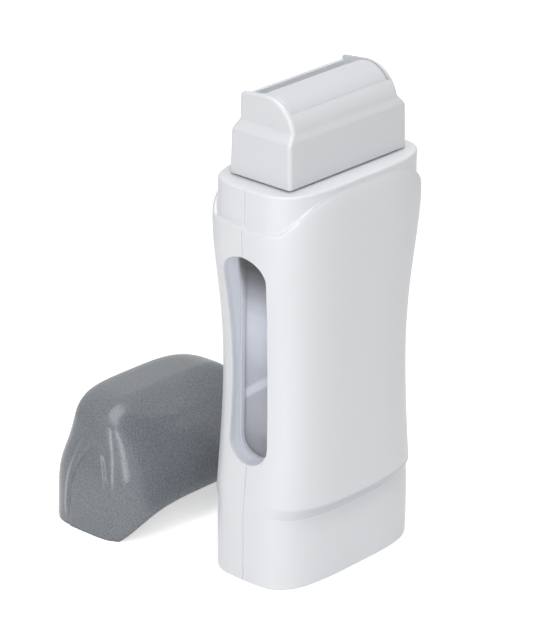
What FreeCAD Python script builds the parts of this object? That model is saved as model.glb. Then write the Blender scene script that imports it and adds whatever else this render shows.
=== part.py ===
"""Roll on wax heater: a hand-held warmer, its lift-out wax cartridge and its cap.

Frame: +Z up, the heater stands on Z = 0.  X runs along the wide faces and -X is
the window side, Y runs through the thickness and the shells part at Y = 0.  The
origin is the middle of the heater's flat base.  All sizes are in millimetres.
"""
import FreeCAD
import Part
import math
import os

V = FreeCAD.Vector
FAR = 200.0                  # longer than anything here, for cutting tools

# --- heater body --------------------------------------------------------------
# A section's height, half width, half depth and how far it arches up at its two ends.
# Each list steers a smooth side curve; the crease lies between the two lists.
LOWER_STATIONS = ((1.2, 34.8, 19.5, 0.0), (12.0, 34.9, 19.6, 0.9), (23.2, 35.0, 19.6, 2.6))
UPPER_STATIONS = ((26.2, 34.8, 20.5, 2.6), (45.0, 33.2, 20.1, 1.3), (64.0, 32.3, 19.4, 0.0),
                  (80.0, 32.6, 19.3, 0.0), (96.0, 33.8, 20.0, 0.0), (110.0, 36.0, 20.9, 0.0),
                  (126.0, 37.4, 21.8, 0.0), (133.0, 37.2, 21.4, 0.0), (139.0, 36.2, 20.2, 0.0))
LOWER_BANDS, UPPER_BANDS, EDGE_BANDS = 3, 14, 2
CORE_BANDS, CORE_SIDES = 6, 8    # bands, and flat sides per corner, of a moulding core
EDGE_RADIUS = 1.2            # rounding round the flat base
ROUNDING = 0.58              # a section's rounded corner, as a part of its half width and depth
ARC_POLE = 0.5523            # pole distance that makes a quarter arc of a cubic curve
WALL = 2.2                   # moulded wall of the shells
FLOOR = 2.6
SEAM_GROOVE = 0.3            # width and depth of the parting line
SEAM_FOOT = 2.0              # the parting line starts above the base's rounding

LEDGE_Z = 126.2              # ledge under the cap, on the narrow sides
LEDGE_RISE = 11.3            # how far it arches up on the wide faces
LEDGE_REACH = 35.2           # half width over which it arches
LEDGE_POWER = 3.9
COLLAR_TOP = 138.8
COLLAR_INSET = 1.9
COLLAR_FOOT = 118.0
DECK = 2.4                   # thickness of the deck around the head
CAVITY_TOP = 124.0           # the body's cavity ends below the ledge

# --- window in the -X side ----------------------------------------------------
SLOT_LOW, SLOT_HIGH, SLOT_WIDTH = 42.2, 115.8, 15.2
WINDOW_RECESS = 0.8          # the lens sits this deep in the slot
WINDOW_THICK = 1.2           # flange behind the shells
WINDOW_FLANGE = 2.2          # how far the flange reaches past the slot
FIT = 0.05                   # seating gap of moulded pieces

# --- cartridge ----------------------------------------------------------------
BOTTLE_X, BOTTLE_Y, BOTTLE_CORNER = 52.0, 22.4, 4.0
BOTTLE_LOW, BOTTLE_HIGH, BOTTLE_WALL = 36.0, 136.8, 1.3
NECK_X, NECK_Y, NECK_TOP, NECK_CORNER = 46.0, 16.0, 147.0, 3.0
WELL_X, WELL_Y, WELL_CORNER = 53.4, 23.6, 4.4
WAX_TOP = 126.0

HEAD_LOW, HEAD_STEP, HEAD_WAIST = 139.4, 154.0, 157.6
HEAD_FOOT, HEAD_SHOULDER, HEAD_CORNER = (57.3, 26.0), (57.0, 25.2), 2.0
CHEEK_X, CHEEK_THICK = 25.7, 1.7
CHEEK_RADIUS, CHEEK_Y, CHEEK_Z = 12.5, 0.8, 154.9
BACK_Y, BACK_WALL, BACK_TOP = 11.4, 1.1, 165.2
BACK_CORNER, BACK_ROUND = 166.4, 1.4     # the cheeks' rear corner
LIP_Z = 162.7                # edge of the front wall, along the roller
POCKET_GAP = 0.25            # between the roller and its pocket
FEED_X, FEED_Y = 40.0, 6.0   # opening from the neck to the roller

ROLLER_R, ROLLER_Z, ROLLER_END_GAP = 9.8, 157.5, 0.3
JOURNAL_R, JOURNAL_DEPTH, JOURNAL_CLEARANCE = 2.5, 1.1, 0.05

# --- heating chamber ----------------------------------------------------------
FRAME_WALL_X, FRAME_WALL_Y, FRAME_CORNER = 1.4, 2.4, 6.0
FRAME_LOW = 33.0
SHELF = 2.0                  # rib of each shell that carries the frame
SHELF_GAP = 6.0              # half width of the gap left between the two ribs
PLATE_X, PLATE_LOW, PLATE_HIGH, PLATE_THICK = 50.0, 43.0, 125.0, 1.5
PAD_DEPTH, PAD_MARGIN = 0.3, 1.2
PTC_X, PTC_Z, PTC_THICK, PTC_MID = 36.0, 30.0, 2.0, 80.0
FILM_THICK = 0.3
SPRING_THICK, SPRING_X, SPRING_Z, SPRING_BOW = 0.4, 12.0, 26.0, 0.7
THERMOSTAT_X, THERMOSTAT_Y, THERMOSTAT_Z = 8.0, 3.2, 14.0
FUSE_R, FUSE_LENGTH = 1.3, 11.0
SENSOR_MID = 112.0

# --- mains inlet and lamp, on the +X side -------------------------------------
INLET_Z, INLET_FACE, INLET_DEPTH = 14.5, 34.2, 12.0
INLET_LOBE, INLET_LOBE_Y, INLET_WALL, INLET_FLANGE = 3.9, 3.2, 1.4, 1.3
PIN_R, PIN_Y, PIN_LENGTH, PIN_SHOULDER = 1.18, 4.3, 9.0, 0.5
TAB_X, TAB_Y, TAB_Z = 4.0, 2.4, 0.8
LAMP_Z, LENS_R, LENS_FACE = 27.0, 2.4, 35.0
LENS_SLEEVE_R, LENS_SLEEVE = 3.1, 4.4
LAMP_R, LAMP_LENGTH = 1.5, 6.0

# --- screws, driven from the rear ---------------------------------------------
TOP_SCREWS = ((-31.0, 121.6), (31.0, 121.6))
LOW_SCREWS = ((-12.0, 9.2), (12.0, 9.2))
TOP_BOSS_R, LOW_BOSS_R = 2.8, 3.3
SCREW_R, SCREW_HEAD_R, SCREW_HEAD = 1.2, 2.1, 1.6
SCREW_SEAT, SCREW_TIP = 4.0, -8.0
SCREW_SLOT = 0.6
PILOT_GAP, HEAD_GAP = 0.03, 0.3

# --- leads inside the heater --------------------------------------------------
LEAD_R = 0.6
NOTCH_X, NOTCH_Y, NOTCH_R = 20.5, 14.9, 1.2

# --- cap ----------------------------------------------------------------------
CAP_PLACE, CAP_YAW = (-6.2, 64.0), -0.5   # it stands on the table behind the heater
# The cap's sections from rim to crown, listed as the body's are.
CAP_STATIONS = ((0.0, 37.4, 21.8, 0.0), (9.8, 37.4, 21.7, 0.0), (19.6, 37.9, 21.6, 0.0),
                (28.4, 34.3, 18.5, 0.0), (36.2, 32.4, 17.2, 0.0), (41.5, 30.8, 16.8, 0.0),
                (44.6, 23.4, 15.5, 0.0), (44.6, 15.3, 9.8, 0.0))
CAP_HEIGHT, CAP_WALL, CAP_BANDS = 44.6, 1.4, 12
GRIP_HALF, GRIP_HEIGHT, GRIP_RELIEF = 9.4, 30.5, 0.8


# ==============================================================================
# Shapes used by several pieces
# ==============================================================================
def box(x0, x1, y0, y1, z0, z1):
    return Part.makeBox(x1 - x0, y1 - y0, z1 - z0, V(x0, y0, z0))


def rod(radius, start, end):
    """A round bar between two points."""
    axis = end - start
    return Part.makeCylinder(radius, axis.Length, start, axis)


def rounded_block(size_x, size_y, z0, z1, corner):
    """An upright rectangular block with rounded upright edges."""
    block = box(-size_x / 2, size_x / 2, -size_y / 2, size_y / 2, z0, z1)
    upright = [e for e in block.Edges if e.BoundBox.ZLength > (z1 - z0) / 2]
    return block.makeFillet(corner, upright)


def rounded_outline(size_x, size_y, z, corner):
    """The same block's outline at one height, as a wire for a loft."""
    for face in rounded_block(size_x, size_y, z, z + 1, corner).Faces:
        if abs(face.CenterOfMass.z - z) < 1e-6:
            return face.OuterWire


def stadium(radius, low, high, x0, x1):
    """An upright slot with round ends, which runs along X."""
    parts = box(x0, x1, -radius, radius, low + radius, high - radius)
    for z in (low + radius, high - radius):
        parts = parts.fuse(rod(radius, V(x0, 0, z), V(x1, 0, z)))
    return parts.removeSplitter()


def figure_eight(radius, x0, x1):
    """Two joined round bars side by side, the outline of the mains inlet."""
    lobes = [rod(radius, V(x0, y, INLET_Z), V(x1, y, INLET_Z))
             for y in (-INLET_LOBE_Y, INLET_LOBE_Y)]
    return lobes[0].fuse(lobes[1])


def mirrored(shape):
    """The same piece on the other side of the parting plane."""
    return shape.mirror(V(0, 0, 0), V(0, 1, 0))


def smooth(stations, bands):
    """Evenly spread stations on the smooth curve that the given ones steer."""
    size, lift = Part.BSplineCurve(), Part.BSplineCurve()
    degree = min(3, len(stations) - 1)
    size.buildFromPoles([V(half_x, half_y, z) for z, half_x, half_y, _ in stations], False, degree)
    lift.buildFromPoles([V(rise, 0, 0) for _, _, _, rise in stations], False, degree)
    spread = []
    for step in range(bands + 1):
        place = size.value(step / bands)
        spread.append((place.z, place.x, place.y, lift.value(step / bands).x))
    return spread


def outline(station, inset):
    """A rounded oblong, or the one lying inset inside it, with its two ends lifted by rise."""
    z, half_x, half_y, rise = station
    end_x, end_y = half_x - inset, half_y - inset
    side_x, side_y = end_x * (1 - ROUNDING), end_y * (1 - ROUNDING)
    pole_x, pole_y = side_x + ARC_POLE * (end_x - side_x), side_y + ARC_POLE * (end_y - side_y)
    corners = []
    for x, y in ((1, 1), (-1, 1), (-1, -1), (1, -1)):
        poles = [V(x * end_x, y * side_y, z + rise), V(x * end_x, y * pole_y, z + rise),
                 V(x * pole_x, y * end_y, z), V(x * side_x, y * end_y, z)]
        corners.append(poles if x == y else poles[::-1])
    edges = []
    for poles, following in zip(corners, corners[1:] + corners[:1]):
        corner = Part.BezierCurve()
        corner.setPoles(poles)
        edges += [corner.toShape(), Part.LineSegment(poles[-1], following[0]).toShape()]
    return Part.Wire(edges)


def enclosed(stations, inset=0.0):
    """A closed solid through the stations' outlines."""
    return Part.makeLoft([outline(station, inset) for station in stations], True, True)


def core(stations, inset=0.0):
    """The like solid for a shell's inside, whose corners are cut in flat sides."""
    wires = []
    for station in stations:
        corners = []
        for edge in outline(station, inset).Edges:
            sides = CORE_SIDES if isinstance(edge.Curve, Part.BezierCurve) else 1
            corners += edge.discretize(sides + 1)[:-1]
        wires.append(Part.makePolygon(corners + corners[:1]))
    return Part.makeLoft(wires, True, True)


# ==============================================================================
# Heater body: one form, and the shells cut from it
# ==============================================================================
def body_form(inset=0.0):
    """The heater's outer form, or one lying inset inside it."""
    radius, half_x, half_y, _ = LOWER_STATIONS[0]
    edge = []
    for step in range(EDGE_BANDS):
        angle = math.pi / 2 * step / EDGE_BANDS
        lean = EDGE_RADIUS * (1 - math.sin(angle))
        edge.append((radius - EDGE_RADIUS * math.cos(angle), half_x - lean, half_y - lean, 0.0))
    return enclosed(edge + smooth(LOWER_STATIONS, LOWER_BANDS) + smooth(UPPER_STATIONS, UPPER_BANDS),
                    inset)


def body_core(inset):
    """The form of the hollow inside the shells."""
    return core(smooth(LOWER_STATIONS, 1) + smooth(UPPER_STATIONS, CORE_BANDS), inset)


def above_ledge(foot):
    """Everything above the arched line where the cap's rim meets the body."""
    line = []
    for t in (-1, -0.85, -0.7, -0.45, 0, 0.45, 0.7, 0.85, 1):
        line.append(V(LEDGE_REACH * t, -FAR / 2, foot + LEDGE_RISE * (1 - abs(t) ** LEDGE_POWER)))
    arch = Part.BSplineCurve()
    arch.interpolate(Points=line)
    corners = [line[-1], V(FAR, -FAR / 2, foot), V(FAR, -FAR / 2, FAR), V(-FAR, -FAR / 2, FAR),
               V(-FAR, -FAR / 2, foot), line[0]]
    sides = [Part.LineSegment(a, b).toShape() for a, b in zip(corners, corners[1:])]
    return Part.Face(Part.Wire([arch.toShape()] + sides)).extrude(V(0, FAR, 0))


def collar_form(make, inset, foot, top):
    """The upright collar that the cap slides over, or its inside."""
    _, half_x, half_y, _ = UPPER_STATIONS[-3]
    return make([(foot, half_x, half_y, 0.0), (top, half_x, half_y, 0.0)], inset)


def cavity():
    """The hollow inside both shells, with the ribs that carry the chamber left in."""
    lower = body_core(WALL).common(box(-FAR, FAR, -FAR, FAR, FLOOR, CAVITY_TOP))
    shelf = box(-FAR, FAR, -FAR, FAR, FRAME_LOW - SHELF, FRAME_LOW)
    shelf = shelf.cut(box(-FAR, FAR, -SHELF_GAP, SHELF_GAP, 0, FAR))
    for y in (-NOTCH_Y, NOTCH_Y):
        shelf = shelf.cut(rod(NOTCH_R, V(NOTCH_X, y, 0), V(NOTCH_X, y, FAR)))
    upper = collar_form(core, COLLAR_INSET + WALL, COLLAR_FOOT, COLLAR_TOP - DECK)
    return lower.cut(shelf).fuse(upper)


def seam_groove(form):
    """The fine line that shows on the narrow sides, where the two shells meet."""
    strip = box(-FAR, FAR, -SEAM_GROOVE / 2, SEAM_GROOVE / 2, SEAM_FOOT, CAVITY_TOP)
    return strip.common(form).cut(body_form(SEAM_GROOVE))


def shell_body():
    """Both shells in one, with every opening that they share."""
    form = body_form()
    groove = seam_groove(form)
    body = form.cut(above_ledge(LEDGE_Z))
    body = body.fuse(collar_form(enclosed, COLLAR_INSET, COLLAR_FOOT, COLLAR_TOP))
    body = body.cut(cavity()).cut(groove)
    body = body.cut(rounded_block(WELL_X, WELL_Y, CAVITY_TOP, FAR, WELL_CORNER))
    body = body.cut(stadium(SLOT_WIDTH / 2, SLOT_LOW, SLOT_HIGH, -FAR, -FRAME_CORNER))
    body = body.cut(figure_eight(INLET_LOBE + INLET_WALL + FIT, FRAME_CORNER, FAR))
    return body.cut(rod(LENS_R + FIT, V(0, 0, LAMP_Z), V(FAR, 0, LAMP_Z)))


def screw_places():
    return ([(place, TOP_BOSS_R) for place in TOP_SCREWS]
            + [(place, LOW_BOSS_R) for place in LOW_SCREWS])


def front_shell(body):
    """The half that faces -Y, with blind bosses for the screws."""
    half = body.common(box(-FAR, FAR, -FAR, 0, -FAR, FAR))
    inside = body_core(WALL / 2)
    for (x, z), radius in screw_places():
        boss = rod(radius, V(x, -FAR, z), V(x, 0, z)).common(inside)
        half = half.fuse(boss)
        half = half.cut(rod(SCREW_R + PILOT_GAP, V(x, SCREW_TIP - 1, z), V(x, 0, z)))
    return half


def rear_shell(body):
    """The half that faces +Y, with counterbored bosses."""
    half = body.common(box(-FAR, FAR, 0, FAR, -FAR, FAR))
    inside = body_core(WALL / 2)
    for (x, z), radius in screw_places():
        boss = rod(radius, V(x, 0, z), V(x, FAR, z)).common(inside)
        half = half.fuse(boss)
        half = half.cut(rod(SCREW_R + HEAD_GAP, V(x, 0, z), V(x, FAR, z)))
        half = half.cut(rod(SCREW_HEAD_R + HEAD_GAP, V(x, SCREW_SEAT, z), V(x, FAR, z)))
    return half


def shell_screws():
    """Four slotted pan-head screws."""
    screws = []
    for (x, z), _ in screw_places():
        shank = rod(SCREW_R, V(x, SCREW_TIP, z), V(x, SCREW_SEAT, z))
        head = rod(SCREW_HEAD_R, V(x, SCREW_SEAT, z), V(x, SCREW_SEAT + SCREW_HEAD, z))
        top = SCREW_SEAT + SCREW_HEAD
        slot = box(x - FAR, x + FAR, top - SCREW_SLOT, top + 1,
                   z - SCREW_SLOT / 2, z + SCREW_SLOT / 2)
        screws.append(shank.fuse(head).cut(slot))
    return Part.makeCompound(screws)


def side_window():
    """A clear lens that fills the slot, with a flange behind the shells."""
    lens = stadium(SLOT_WIDTH / 2 - FIT, SLOT_LOW + FIT, SLOT_HIGH - FIT, -FAR, -FRAME_CORNER)
    lens = lens.common(body_form(WINDOW_RECESS))
    flange = stadium(SLOT_WIDTH / 2 + WINDOW_FLANGE, SLOT_LOW - WINDOW_FLANGE,
                     SLOT_HIGH + WINDOW_FLANGE, -FAR, -FRAME_CORNER)
    flange = flange.common(body_core(WALL + FIT))
    return lens.fuse(flange).cut(body_core(WALL + WINDOW_THICK))


# ==============================================================================
# Heating chamber
# ==============================================================================
def chamber_frame():
    """The upright box that guides the cartridge and holds both heating plates."""
    outer = rounded_block(WELL_X + 2 * FRAME_WALL_X, WELL_Y + 2 * FRAME_WALL_Y,
                          FRAME_LOW, COLLAR_TOP - DECK, FRAME_CORNER)
    frame = outer.cut(rounded_block(WELL_X, WELL_Y, BOTTLE_LOW, FAR, WELL_CORNER))
    sight = SLOT_WIDTH / 2 - 1
    frame = frame.cut(stadium(sight, SLOT_LOW + 1, SLOT_HIGH - 1, -FAR, -FRAME_CORNER))
    for side in (heating_plate_room(), mirrored(heating_plate_room())):
        frame = frame.cut(side)
    return frame


def heating_plate_room():
    pad = plate_block(-PAD_MARGIN + FIT, WELL_Y / 2 - 1, FAR)
    pocket = plate_block(FIT, WELL_Y / 2 + PAD_DEPTH, FAR)
    return pad.fuse(pocket)


def plate_block(grow, y0, y1):
    """A block on the front side with the plate's outline, grown or shrunk all round."""
    half = PLATE_X / 2 + grow
    return box(-half, half, -y1, -y0, PLATE_LOW - grow, PLATE_HIGH + grow)


def heating_plate():
    """An aluminium plate whose raised pad reaches through the frame."""
    inner = WELL_Y / 2
    pad = plate_block(-PAD_MARGIN, inner, inner + PAD_DEPTH)
    return pad.fuse(plate_block(0, inner + PAD_DEPTH, inner + PAD_DEPTH + PLATE_THICK))


PLATE_BACK = WELL_Y / 2 + PAD_DEPTH + PLATE_THICK
FILM_BACK = PLATE_BACK + PTC_THICK + FILM_THICK


def ptc_heater():
    return box(-PTC_X / 2, PTC_X / 2, -PLATE_BACK - PTC_THICK, -PLATE_BACK,
               PTC_MID - PTC_Z / 2, PTC_MID + PTC_Z / 2)


def insulator_film():
    return box(-PTC_X / 2, PTC_X / 2, -FILM_BACK, -PLATE_BACK - PTC_THICK,
               PTC_MID - PTC_Z / 2, PTC_MID + PTC_Z / 2)


def plate_spring():
    """A bowed leaf spring between the film and the shell."""
    def bow(y):
        ends = [V(-SPRING_X / 2, -y, PTC_MID + s * SPRING_Z / 2) for s in (-1, 1)]
        middle = V(-SPRING_X / 2, -y - SPRING_BOW, PTC_MID)
        return Part.Arc(ends[0], middle, ends[1]).toShape(), ends

    inner, inner_ends = bow(FILM_BACK)
    outer, outer_ends = bow(FILM_BACK + SPRING_THICK)
    low_tip, high_tip = [Part.LineSegment(a, b).toShape() for a, b in zip(inner_ends, outer_ends)]
    return Part.Face(Part.Wire([inner, high_tip, outer, low_tip])).extrude(V(SPRING_X, 0, 0))


def thermostat():
    return box(-THERMOSTAT_X / 2, THERMOSTAT_X / 2, -PLATE_BACK - THERMOSTAT_Y, -PLATE_BACK,
               SENSOR_MID - THERMOSTAT_Z / 2, SENSOR_MID + THERMOSTAT_Z / 2)


def thermal_fuse():
    y = PLATE_BACK + FUSE_R
    return rod(FUSE_R, V(-FUSE_LENGTH / 2, y, SENSOR_MID), V(FUSE_LENGTH / 2, y, SENSOR_MID))


# ==============================================================================
# Mains inlet, lamp and leads
# ==============================================================================
INLET_BACK = INLET_FACE - INLET_DEPTH - INLET_WALL


def inlet_socket():
    """The two-pole inlet's housing, held by a flange behind the shells."""
    housing = figure_eight(INLET_LOBE + INLET_WALL, INLET_BACK, INLET_FACE)
    flange = figure_eight(INLET_LOBE + INLET_WALL + INLET_FLANGE, INLET_FACE - 5, FAR)
    flange = flange.common(body_core(WALL + FIT))
    flange = flange.cut(box(INLET_FACE - 1.5, FAR, -FAR, FAR, 0, FAR))
    housing = housing.fuse(flange)
    housing = housing.cut(figure_eight(INLET_LOBE, INLET_BACK + INLET_WALL, FAR))
    for y in (-PIN_Y, PIN_Y):
        housing = housing.cut(rod(PIN_R, V(0, y, INLET_Z), V(INLET_FACE, y, INLET_Z)))
    return housing


def inlet_pins():
    """Two round pins, each with a solder tab behind the housing."""
    pins = []
    for y in (-PIN_Y, PIN_Y):
        pin = rod(PIN_R, V(INLET_BACK - PIN_SHOULDER, y, INLET_Z),
                  V(INLET_BACK + INLET_WALL + PIN_LENGTH, y, INLET_Z))
        pin = pin.makeChamfer(0.4, [e for e in pin.Edges if e.CenterOfMass.x > INLET_BACK + 5
                                    and e.BoundBox.XLength < 0.1])
        tab = box(INLET_BACK - TAB_X, INLET_BACK, y - TAB_Y / 2, y + TAB_Y / 2,
                  INLET_Z - TAB_Z / 2, INLET_Z + TAB_Z / 2)
        pins.append(pin.fuse(tab))
    return Part.makeCompound(pins)


def indicator_lens():
    """A small round lens with a sleeve behind it for the lamp."""
    lens = rod(LENS_R, V(0, 0, LAMP_Z), V(LENS_FACE, 0, LAMP_Z))
    front = [e for e in lens.Edges if e.CenterOfMass.x > LENS_FACE - 0.1]
    lens = lens.makeChamfer(0.5, front)
    sleeve = rod(LENS_SLEEVE_R, V(0, 0, LAMP_Z), V(FAR, 0, LAMP_Z))
    lens = lens.fuse(sleeve.common(body_core(WALL + FIT)))
    back = LENS_FACE - WALL - LENS_SLEEVE
    lens = lens.cut(box(-FAR, back, -FAR, FAR, 0, FAR))
    return lens.cut(rod(LAMP_R, V(0, 0, LAMP_Z), V(back + LAMP_LENGTH / 2, 0, LAMP_Z)))


def indicator_lamp():
    """A small lamp with a round end, in the lens's sleeve."""
    tip = LENS_FACE - WALL - LENS_SLEEVE + LAMP_LENGTH / 2
    lamp = rod(LAMP_R, V(tip - LAMP_LENGTH, 0, LAMP_Z), V(tip, 0, LAMP_Z))
    return lamp.makeChamfer(0.5, [e for e in lamp.Edges if e.CenterOfMass.x > tip - 0.1])


def lead(points):
    """A round lead through the points, with mitred bends."""
    section = Part.Wire([Part.Circle(points[0], points[1] - points[0], LEAD_R).toShape()])
    return Part.makePolygon(points).makePipeShell([section], True, True, 1)


def supply_lead(end_x):
    """From an inlet tab, up the side of the chamber and in to the end of a sensor."""
    y = PLATE_BACK + FUSE_R
    return lead([V(INLET_BACK - TAB_X, -PIN_Y, INLET_Z), V(7.0, -PIN_Y, INLET_Z),
                 V(9.0, -10.0, 24.0), V(NOTCH_X, -NOTCH_Y, 29.0), V(NOTCH_X, -NOTCH_Y, 104.0),
                 V(15.0, -y, SENSOR_MID), V(end_x, -y, SENSOR_MID)])


def link_lead(end_x):
    """From the sensor's other end down to the heating element's edge."""
    y = PLATE_BACK + FUSE_R
    return lead([V(-end_x, -y, SENSOR_MID), V(-13.0, -y, SENSOR_MID),
                 V(-13.0, -y, PTC_MID + PTC_Z / 2)])


# ==============================================================================
# Cartridge and roller
# ==============================================================================
def bottle():
    """The wax bottle: a deep rounded box with a flat neck."""
    body = rounded_block(BOTTLE_X, BOTTLE_Y, BOTTLE_LOW, BOTTLE_HIGH, BOTTLE_CORNER)
    ends = [e for e in body.Edges if e.BoundBox.ZLength < 0.1]
    body = body.makeChamfer(1.2, ends)
    neck = rounded_block(NECK_X, NECK_Y, BOTTLE_HIGH - 2, NECK_TOP, NECK_CORNER)
    return body.fuse(neck).cut(bottle_hollow(BOTTLE_HIGH - BOTTLE_WALL)).cut(neck_bore())


def bottle_hollow(top):
    return rounded_block(BOTTLE_X - 2 * BOTTLE_WALL, BOTTLE_Y - 2 * BOTTLE_WALL,
                         BOTTLE_LOW + BOTTLE_WALL, top, BOTTLE_CORNER - BOTTLE_WALL)


def neck_bore():
    return rounded_block(NECK_X - 2 * BOTTLE_WALL, NECK_Y - 2 * BOTTLE_WALL, WAX_TOP, FAR,
                         NECK_CORNER - BOTTLE_WALL)


def neck_seal():
    """A flat gasket on the bottle's shoulder, under the head."""
    ring = rounded_block(NECK_X + 3, NECK_Y + 3, BOTTLE_HIGH, HEAD_LOW, NECK_CORNER + 1.5)
    return ring.cut(rounded_block(NECK_X, NECK_Y, 0, FAR, NECK_CORNER))


def cheek_profile():
    """The head's side view above the step: upright back, round front."""
    centre, low = V(0, CHEEK_Y, CHEEK_Z), HEAD_STEP - 1
    crest = centre + V(0, 0, CHEEK_RADIUS)
    belly = centre + V(0, -math.sqrt(0.5), math.sqrt(0.5)) * CHEEK_RADIUS
    reach = math.sqrt(CHEEK_RADIUS ** 2 - (HEAD_WAIST - CHEEK_Z) ** 2)
    front = V(0, CHEEK_Y - reach, HEAD_WAIST)
    corners = [front, V(0, -CHEEK_RADIUS + 0.5, low), V(0, BACK_Y, low), V(0, BACK_Y, BACK_CORNER),
               crest]
    edges = [Part.Arc(crest, belly, front).toShape()]
    edges += [Part.LineSegment(a, b).toShape() for a, b in zip(corners, corners[1:])]
    return Part.Face(Part.Wire(edges))


def cartridge_head():
    """The roller's housing: a drafted foot, a waist, two cheeks and two scraper walls."""
    foot = Part.makeLoft([rounded_outline(*HEAD_FOOT, HEAD_LOW, HEAD_CORNER),
                          rounded_outline(*HEAD_SHOULDER, HEAD_STEP, HEAD_CORNER)], True, True)
    waist = Part.makeLoft([rounded_outline(*HEAD_SHOULDER, HEAD_STEP, HEAD_CORNER),
                           rounded_outline(2 * CHEEK_X, 2 * BACK_Y, HEAD_WAIST, HEAD_CORNER)],
                          True, True)
    upper = cheek_profile().extrude(V(2 * CHEEK_X, 0, 0))
    upper.translate(V(-CHEEK_X, 0, 0))
    back_corner = [e for e in upper.Edges if abs(e.CenterOfMass.y - BACK_Y) < 0.01
                   and e.CenterOfMass.z > BACK_TOP and e.BoundBox.XLength > CHEEK_X]
    upper = upper.makeFillet(BACK_ROUND, back_corner)
    head = foot.fuse([waist, upper])
    return head.cut(roller_pocket()).cut(head_hollow()).removeSplitter()


def roller_pocket():
    """What is cut away for the roller, between the cheeks and the two walls."""
    inside = CHEEK_X - CHEEK_THICK
    bore = rod(ROLLER_R + POCKET_GAP, V(-inside, 0, ROLLER_Z), V(inside, 0, ROLLER_Z))
    before = box(-inside, inside, -FAR, 0, LIP_Z, FAR)
    behind = box(-inside, inside, 0, BACK_Y - BACK_WALL, ROLLER_Z, FAR)
    over = box(-inside, inside, 0, FAR, BACK_TOP, FAR)
    pocket = bore.fuse([before, behind, over])
    reach = inside + JOURNAL_DEPTH + 0.1
    return pocket.fuse(rod(JOURNAL_R + JOURNAL_CLEARANCE, V(-reach, 0, ROLLER_Z), V(reach, 0, ROLLER_Z)))


def head_hollow():
    """Room for the bottle's neck, and the feed opening to the roller."""
    neck = rounded_block(NECK_X + 2 * FIT, NECK_Y + 2 * FIT, 0, NECK_TOP + FIT, NECK_CORNER)
    feed = rounded_block(FEED_X, FEED_Y, NECK_TOP - 1, ROLLER_Z, 2.0)
    return neck.fuse(feed)


def roller():
    """The wax roller with a journal at each end."""
    half = CHEEK_X - CHEEK_THICK - ROLLER_END_GAP
    barrel = rod(ROLLER_R, V(-half, 0, ROLLER_Z), V(half, 0, ROLLER_Z))
    barrel = barrel.makeChamfer(0.4, [e for e in barrel.Edges if e.BoundBox.XLength < 0.1])
    end = CHEEK_X - CHEEK_THICK + JOURNAL_DEPTH - 0.1
    return barrel.fuse(rod(JOURNAL_R, V(-end, 0, ROLLER_Z), V(end, 0, ROLLER_Z)))


# ==============================================================================
# Cap
# ==============================================================================
def cap_form(make, inset=0.0, relief=0.0):
    """The cap's outer form, or the one inside its wall; relief swells it upwards."""
    stretch = (CAP_HEIGHT - inset) / CAP_HEIGHT
    stations = []
    for z, half_x, half_y, rise in smooth(CAP_STATIONS, CAP_BANDS):
        swell = relief * min(1.0, z / GRIP_HEIGHT) - inset * half_y / CAP_STATIONS[0][2]
        stations.append((z * stretch, half_x + swell, half_y + swell, rise))
    return make(stations)


def grip_arch():
    """The upright half ellipse that bounds the thumb grips, run along X."""
    ellipse = Part.Ellipse(V(0, 0, 0), GRIP_HEIGHT, GRIP_HALF).toShape()
    face = Part.Face(Part.Wire([ellipse]))
    face.rotate(V(0, 0, 0), V(0, 1, 0), -90)
    face.translate(V(-FAR / 2, 0, 0))
    return face.extrude(V(FAR, 0, 0))


def cap():
    """A tall rounded cap; its rim arches up on the wide sides as the ledge does."""
    outer = cap_form(enclosed)
    grips = cap_form(enclosed, relief=GRIP_RELIEF).common(grip_arch()).cut(
        box(-FAR / 8, FAR / 8, -FAR, FAR, -FAR, FAR))
    shell = outer.fuse(grips).cut(cap_form(core, inset=CAP_WALL))
    shell = shell.common(above_ledge(0.0))
    shell.rotate(V(0, 0, 0), V(0, 0, 1), CAP_YAW)
    shell.translate(V(CAP_PLACE[0], CAP_PLACE[1], 0))
    return shell


# ==============================================================================
def save(name, shape):
    shape.exportStep(os.path.join("parts", name + ".step"))
    print(name, "solids", len(shape.Solids), "valid", shape.isValid(), "volume", round(shape.Volume))


def main():
    os.makedirs("parts", exist_ok=True)
    body = shell_body()
    save("front_shell", front_shell(body))
    save("rear_shell", rear_shell(body))
    save("shell_screws", shell_screws())
    save("side_window", side_window())

    save("chamber_frame", chamber_frame())
    pairs = (("heating_plate", heating_plate), ("ptc_heater", ptc_heater),
             ("insulator_film", insulator_film), ("plate_spring", plate_spring))
    for name, make in pairs:
        save("front_" + name, make())
        save("rear_" + name, mirrored(make()))
    save("thermostat", thermostat())
    save("thermal_fuse", thermal_fuse())

    save("inlet_socket", inlet_socket())
    save("inlet_pins", inlet_pins())
    save("indicator_lens", indicator_lens())
    save("indicator_lamp", indicator_lamp())
    save("live_lead", supply_lead(THERMOSTAT_X / 2))
    save("neutral_lead", mirrored(supply_lead(FUSE_LENGTH / 2)))
    save("thermostat_lead", link_lead(THERMOSTAT_X / 2))
    save("fuse_lead", mirrored(link_lead(FUSE_LENGTH / 2)))

    save("wax_bottle", bottle())
    save("wax_fill", bottle_hollow(WAX_TOP))
    save("neck_seal", neck_seal())
    save("cartridge_head", cartridge_head())
    save("roller", roller())
    save("cap", cap())


main()
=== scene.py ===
"""Looks of the roll-on wax heater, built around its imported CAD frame."""
import bisect
import math
from types import SimpleNamespace
import bmesh
import bpy
from bpy.props import FloatProperty, FloatVectorProperty, PointerProperty
from mathutils import Matrix, Vector
from mathutils.bvhtree import BVHTree


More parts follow.
